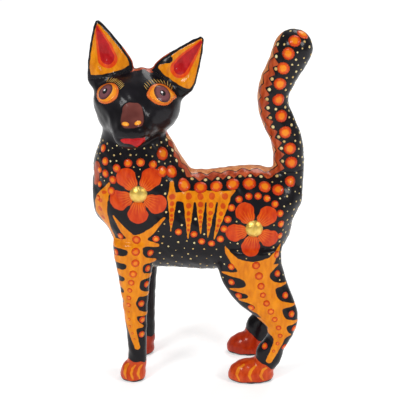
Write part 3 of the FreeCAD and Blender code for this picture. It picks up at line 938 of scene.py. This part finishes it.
def almond(theta):
    """Draws the outer corner of the eye out to a point."""
    corner = (theta - math.radians(-14) + math.pi) % (2 * math.pi) - math.pi
    inner = (theta - math.radians(170) + math.pi) % (2 * math.pi) - math.pi
    return 0.97 + 0.42 * math.exp(-(corner / 0.3) ** 2) + 0.12 * math.exp(-(inner / 0.35) ** 2)


def layered_eye(centre, normal, size, iris_shift, shape):
    """Five layers of paint at one eye."""
    normal = Vector(normal).normalized()
    place = tree.ray_cast(at(*centre) + normal * 6 * mm, -normal)[0]
    level = Vector((0, 0, 1)).cross(normal).normalized()
    heart = place + level * iris_shift[0] * mm + normal.cross(level) * iris_shift[1] * mm
    fine = (36, 8)
    for share, lift, kind in ((1.0, 0.0, RIM), (0.84, 0.17, GROUND)):
        drop(head_dots, place, normal, (size[0] * share, size[1] * share), 0.3, lift, kind,
             fine=fine, shape=shape)
    iris = size[1] * 0.76
    drop(head_dots, heart, normal, (iris, iris), 0.25, 0.42, IRIS, fine=fine)
    drop(head_dots, heart, normal, (1.9, 1.8), 0.2, 0.58, PUPIL, fine=fine)
    glint = heart + level * -0.5 * mm + normal.cross(level) * 0.4 * mm
    drop(head_dots, glint, normal, (0.75, 0.7), 0.15, 0.74, GLINT)
    return place, normal


right_eye = layered_eye((-50.3, -12.5, 168.2), (-0.55, -0.5, 0.67), (8.2, 6.3), (-0.9, 0.2), None)
left_eye = layered_eye((-20.2, -14.1, 168), (0.48, -0.57, 0.67), (8.4, 6.8), (0.3, -0.1), almond)
lashes = ((right_eye, 11, 128, 40, (8.2, 6.3), (0.15, 0.8), None),
          (left_eye, 12, 142, 14, (8.4, 6.8), (-0.5, 0.8), almond))
for (place, normal), count, first_angle, last_angle, size, sweep, shape in lashes:
    level = Vector((0, 0, 1)).cross(normal).normalized()
    steep = normal.cross(level)
    for number in range(count):
        share = number / (count - 1)
        angle = math.radians(first_angle + (last_angle - first_angle) * share)
        lean = sweep[0] + (sweep[1] - sweep[0]) * share
        growth = Vector((lean, 0, 1)).normalized()
        turn = math.atan2(growth.dot(steep), growth.dot(level))
        clearance = (shape(angle) if shape else 1.0) + 0.07
        foot = (level * math.cos(angle) * size[0] + steep * math.sin(angle) * size[1]) * clearance * mm
        half = 1.7 + 0.4 * random.random()
        growth -= normal * growth.dot(normal)
        spot, normal_here, _, _ = tree.find_nearest(place + foot + growth.normalized() * half * mm)
        drop(head_dots, spot, normal_here, (half, 0.18), 0.2, 0.02, LASH, turn=turn, fine=(10, 4))
for x, y, z, tilt in ((-39.2, -30.4, 155.6, -0.1), (-32.8, -29.4, 155.9, 0.25)):
    spot, normal_here, _, _ = tree.find_nearest(at(x, y, z))
    drop(head_dots, spot, normal_here, (2.2, 1.25), 0.25, 0.1, GROUND, turn=tilt, fine=(20, 6))
print("face drops on the head:", len(head_dots.verts))

# %% [markdown]
# ## Finishes
# Lacquer is a base colour under a clear hard coat. The colour is chosen by the distances stored on
# the skin: a helper lays one paint over the last wherever a distance is below zero, with an edge
# that wobbles a little, as a brush edge does. Brush hairs show as fine streaks in the colour and
# in the gloss.

# %% Material helpers
class Recipe:
    """Builds one material; each call adds a node and gives back its output."""

    def __init__(self, name, roughness, coat=0.0, specular=0.5, metallic=0.0):
        self.material = bpy.data.materials.new(name)
        self.material.use_nodes = True
        self.tree = self.material.node_tree
        self.shader = self.tree.nodes["Principled BSDF"]
        for socket, value in (("Roughness", roughness), ("Coat Weight", coat),
                              ("Coat Roughness", 0.09), ("Specular IOR Level", specular),
                              ("Metallic", metallic)):
            self.shader.inputs[socket].default_value = value
        self.place = self.add("ShaderNodeTexCoord").outputs["Object"]

    def add(self, kind, **settings):
        """A node with its settings."""
        made = self.tree.nodes.new(kind)
        for key, value in settings.items():
            setattr(made, key, value)
        return made

    def feed(self, socket, value):
        """Links an output to a socket, or sets a plain value."""
        if isinstance(value, bpy.types.NodeSocket):
            self.tree.links.new(value, socket)
        else:
            socket.default_value = value

    def attribute(self, name):
        """A number stored on the mesh."""
        return self.add("ShaderNodeAttribute", attribute_name="to_" + name).outputs["Fac"]

    def noise(self, scale, detail=2.0, stretch=(1, 1, 1), rough=0.5):
        """A noise in the object's own metres, scale in waves per metre."""
        mapping = self.add("ShaderNodeMapping")
        mapping.inputs["Scale"].default_value = stretch
        self.feed(mapping.inputs["Vector"], self.place)
        made = self.add("ShaderNodeTexNoise")
        made.inputs["Scale"].default_value = scale
        made.inputs["Detail"].default_value = detail
        made.inputs["Roughness"].default_value = rough
        self.feed(made.inputs["Vector"], mapping.outputs["Vector"])
        return made.outputs["Fac"]

    def math(self, operation, first, second=0.0, clamp=False):
        """One sum."""
        made = self.add("ShaderNodeMath", operation=operation, use_clamp=clamp)
        self.feed(made.inputs[0], first)
        self.feed(made.inputs[1], second)
        return made.outputs[0]

    def ramp(self, value, low, high, to_low=0.0, to_high=1.0):
        """Maps a number from one range to another, and clamps it."""
        made = self.add("ShaderNodeMapRange", clamp=True)
        for socket, number in zip(made.inputs[:5], (value, low, high, to_low, to_high)):
            self.feed(socket, number)
        return made.outputs[0]

    def mix(self, share, first, second):
        """One colour over another."""
        made = self.add("ShaderNodeMix", data_type="RGBA")
        self.feed(made.inputs[0], share)
        self.feed(made.inputs[6], first)
        self.feed(made.inputs[7], second)
        return made.outputs[2]

    def finish(self, colour, height=None, strength=0.3, depth=0.2, rough=None):
        """Plugs the colour, the surface height and the gloss into the shader."""
        self.feed(self.shader.inputs["Base Color"], colour)
        if rough is not None:
            self.feed(self.shader.inputs["Roughness"], rough)
        if height is not None:
            bump = self.add("ShaderNodeBump")
            bump.inputs["Strength"].default_value = strength
            bump.inputs["Distance"].default_value = depth * mm
            self.feed(bump.inputs["Height"], height)
            self.feed(self.shader.inputs["Normal"], bump.outputs["Normal"])
            self.feed(self.shader.inputs["Coat Normal"], bump.outputs["Normal"])
        return self.material


def paint_colour(red, green, blue):
    """A colour from its usual 0 to 255 screen values."""
    def linear(value):
        value /= 255
        return value / 12.92 if value <= 0.04045 else ((value + 0.055) / 1.055) ** 2.4
    return (linear(red), linear(green), linear(blue), 1.0)


# %% The lacquer and its paints
lacquer = Recipe("painted_lacquer", 0.34, coat=0.24, specular=0.1)
hairs = lacquer.noise(420, 3.0, (1, 1, 0.35))
clouds = lacquer.noise(75, 2.0)
wander = lacquer.math("MULTIPLY", lacquer.math("SUBTRACT", lacquer.noise(330, 2.0), 0.5), 0.9)


def inside(name, grow=0.0, wobble=True):
    """1 where the stored distance is below grow, with a brushed edge."""
    value = lacquer.attribute(name)
    if wobble:
        value = lacquer.math("ADD", value, wander)
    return lacquer.ramp(value, grow + 0.11, grow - 0.11)


def two_shades(first, second, value, low=0.35, high=0.65):
    """A paint that varies between two colours."""
    return lacquer.mix(lacquer.ramp(value, low, high), paint_colour(*first), paint_colour(*second))


black = two_shades((10, 8, 12), (20, 17, 23), clouds)
coral = two_shades((136, 38, 8), (196, 88, 44), hairs, 0.3, 0.7)
band_inside = inside("band")
colour = lacquer.mix(band_inside, black, coral)
yellow_strip = two_shades((184, 94, 34), (222, 154, 96), hairs, 0.3, 0.7)
strip_share = lacquer.math("MULTIPLY", band_inside, inside("strip"))
colour = lacquer.mix(strip_share, colour, yellow_strip)
line_share = lacquer.ramp(lacquer.math("ABSOLUTE", lacquer.attribute("strip")), 0.5, 0.28)
colour = lacquer.mix(lacquer.math("MULTIPLY", line_share, band_inside), colour, paint_colour(30, 22, 24))
flame_paint = two_shades((208, 112, 0), (234, 142, 6), hairs, 0.3, 0.7)
colour = lacquer.mix(inside("flame"), colour, flame_paint)
colour = lacquer.mix(inside("spots"), colour, two_shades((190, 64, 8), (212, 84, 14), hairs))

# %% Streaked petals
petal_red = two_shades((188, 44, 2), (214, 74, 12), hairs, 0.3, 0.7)
comb = lacquer.math("MULTIPLY", lacquer.attribute("fan"), 38.0)
comb = lacquer.math("ADD", lacquer.math("SINE", comb), lacquer.math("MULTIPLY", wander, 1.4))
faded = lacquer.ramp(lacquer.attribute("reach"), 4.5, 15.5, 1.0, -0.5)
comb = lacquer.math("ADD", lacquer.math("MULTIPLY", comb, 0.55), faded)
streaks = lacquer.ramp(comb, 0.45, 1.3, 0.0, 0.55)
petal_paint = lacquer.mix(streaks, petal_red, paint_colour(232, 128, 16))
colour = lacquer.mix(inside("petal"), colour, petal_paint)

# %% Face, ears and paws on the skin
for name, first, second, grain in (
        ("nose", (92, 44, 40), (128, 70, 62), clouds), ("lips", (168, 14, 20), (198, 30, 32), hairs),
        ("field", (206, 118, 0), (230, 142, 8), hairs), ("ring", (206, 52, 6), (226, 78, 12), hairs),
        ("core", (160, 10, 16), (184, 20, 26), hairs)):
    colour = lacquer.mix(inside(name), colour, two_shades(first, second, grain))
# Painted shade: the paws on the far flank, past the middle plane, get a darker red for the shadow that falls
# on them.
far_side_shade = lacquer.add("ShaderNodeSeparateXYZ")
lacquer.feed(far_side_shade.inputs[0], lacquer.place)
far_side_shade = lacquer.ramp(far_side_shade.outputs["Y"], middle.y - mm, middle.y + mm)
near_paw = two_shades((184, 52, 6), (206, 76, 22), hairs)
paw_paint_and_shade = lacquer.mix(far_side_shade, near_paw, two_shades((156, 34, 4), (178, 50, 12), hairs))
colour = lacquer.mix(inside("paw"), colour, paw_paint_and_shade)
toe_share = lacquer.math("MULTIPLY", inside("toes"), inside("paw", -0.8))
colour = lacquer.mix(toe_share, colour, two_shades((216, 112, 12), (232, 142, 28), hairs))
colour = lacquer.mix(inside("sole"), colour, paint_colour(30, 24, 26))
brushed = lacquer.math("ADD", hairs, lacquer.math("MULTIPLY", lacquer.noise(1200, 2.0), 0.8))
lacquer_material = lacquer.finish(colour, brushed, 0.35, 0.12, lacquer.ramp(clouds, 0.3, 0.7, 0.27, 0.42))

# %% Bare wood at the joints
def wood(name, roughness, grain_scale, stretch, dark, light, strength):
    """Unpainted wood with its grain along z."""
    recipe = Recipe(name, roughness)
    grain = recipe.noise(grain_scale, 4.0, (1, 1, stretch))
    shade = recipe.mix(recipe.ramp(grain, 0.35, 0.65), paint_colour(*dark), paint_colour(*light))
    return recipe.finish(shade, grain, strength, 0.2)


bare_material = wood("bare_wood", 0.62, 260, 0.12, (196, 160, 112), (228, 198, 152), 0.3)
turned_material = wood("turned_dowel", 0.55, 330, 0.08, (188, 148, 98), (222, 188, 138), 0.35)

# %% Brass
brass = Recipe("brass", 0.4, specular=0.5, metallic=1.0)
dents = brass.noise(380, 2.0)
brass_colour = brass.mix(brass.ramp(dents, 0.4, 0.7), paint_colour(232, 200, 112), paint_colour(212, 176, 80))
brass_material = brass.finish(brass_colour, dents, 0.8, 0.6, brass.ramp(dents, 0.3, 0.7, 0.34, 0.48))


# %% Drops of paint
def drop_paint(name, outer, inner, edge, line=None):
    """Paint for drops: inner colour nearer the centre than edge, outer colour outside it."""
    recipe = Recipe(name, 0.3, coat=0.28, specular=0.12)
    heart = recipe.attribute("heart")
    tint = recipe.attribute("tint")
    stir = recipe.noise(700, 2.0)
    heart = recipe.math("ADD", heart, recipe.math("MULTIPLY", recipe.math("SUBTRACT", stir, 0.5), 0.35))
    rim = recipe.mix(tint, paint_colour(*outer[0]), paint_colour(*outer[1]))
    middle_paint = recipe.mix(tint, paint_colour(*inner[0]), paint_colour(*inner[1]))
    colour = recipe.mix(recipe.ramp(heart, edge - 0.14, edge + 0.14), middle_paint, rim)
    if line:
        share = recipe.ramp(heart, 0.86, 0.93)
        colour = recipe.mix(share, colour, paint_colour(*line))
    return recipe.finish(colour, stir, 0.2, 0.1)


drop_materials = [
    drop_paint("dot_two_tone", ((200, 54, 6), (216, 76, 22)), ((228, 118, 4), (242, 142, 24)), 0.54),
    drop_paint("dot_ringed", ((196, 58, 6), (212, 78, 14)), ((220, 106, 2), (238, 134, 22)), 0.52),
    drop_paint("dot_cream", ((190, 150, 84), (222, 206, 148)), ((206, 170, 96), (236, 220, 168)), 0.5),
    drop_paint("eye_rim", ((206, 88, 30), (214, 96, 36)), ((226, 120, 40), (230, 124, 44)), 0.9),
    drop_paint("eye_ground", ((240, 140, 26), (244, 146, 30)), ((250, 172, 60), (250, 176, 64)), 0.7),
    drop_paint("eye_iris", ((70, 34, 40), (74, 38, 44)), ((116, 70, 76), (122, 76, 80)), 0.84),
    drop_paint("eye_pupil", ((12, 10, 14), (16, 14, 18)), ((18, 16, 20), (22, 20, 24)), 0.5),
    drop_paint("eye_glint", ((236, 236, 236), (244, 244, 244)), ((250, 250, 250), (252, 252, 252)), 0.5),
    drop_paint("lash", ((188, 140, 60), (214, 180, 100)), ((206, 160, 76), (226, 196, 120)), 0.5),
]

# %% [markdown]
# ## Putting it together
# Each carved piece stands for its wooden part and moves with that part's body. The dots move with
# the piece they are painted on. Tacks and dowels keep their own shapes and only change finish.

# %% Ride, replace and finish
body_of_part = {"tail": "tail_piece", "ear_left": "ear_left_piece", "ear_right": "ear_right_piece"}
for name, piece in pieces.items():
    piece.data.materials.append(lacquer_material)
    piece.data.materials.append(bare_material)
    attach(piece, body_of_part.get(name, "figure"))
    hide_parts(name)
drop_groups = {"torso": torso_dots, "tail": tail_dots, "head": head_dots, **leg_dots}
for name, bm in drop_groups.items():
    if not bm.verts:
        bm.free()
        continue
    bmesh.ops.recalc_face_normals(bm, faces=bm.faces)
    piece = mesh_object("dots_" + name, bm)
    for material in drop_materials:
        piece.data.materials.append(material)
    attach(piece, body_of_part.get(name, "figure"))
    print(piece.name, len(piece.data.polygons), "faces")
for name, node in nodes.items():
    if "tack" in name or "dowel" in name:
        finish = brass_material if "tack" in name else turned_material
        for material_slot in node.material_slots:
            material_slot.material = finish
floor_paint = Recipe("pale_floor", 0.6, specular=0.2)
floor_tone = floor_paint.mix(floor_paint.noise(3, 2.0), (0.9, 0.9, 0.9, 1), (0.93, 0.93, 0.93, 1))
floor_paint.shader.inputs["Emission Color"].default_value = (1, 1, 1, 1)
floor_paint.shader.inputs["Emission Strength"].default_value = 0.36
floor.data.materials.append(floor_paint.finish(floor_tone))

# %% [markdown]
# Last, the size of the finished figure is printed in mm.

# %% Sizes
bpy.context.view_layer.update()
low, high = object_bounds()
print("finished box in mm:", [round(v / mm, 1) for v in (*low, *high)])
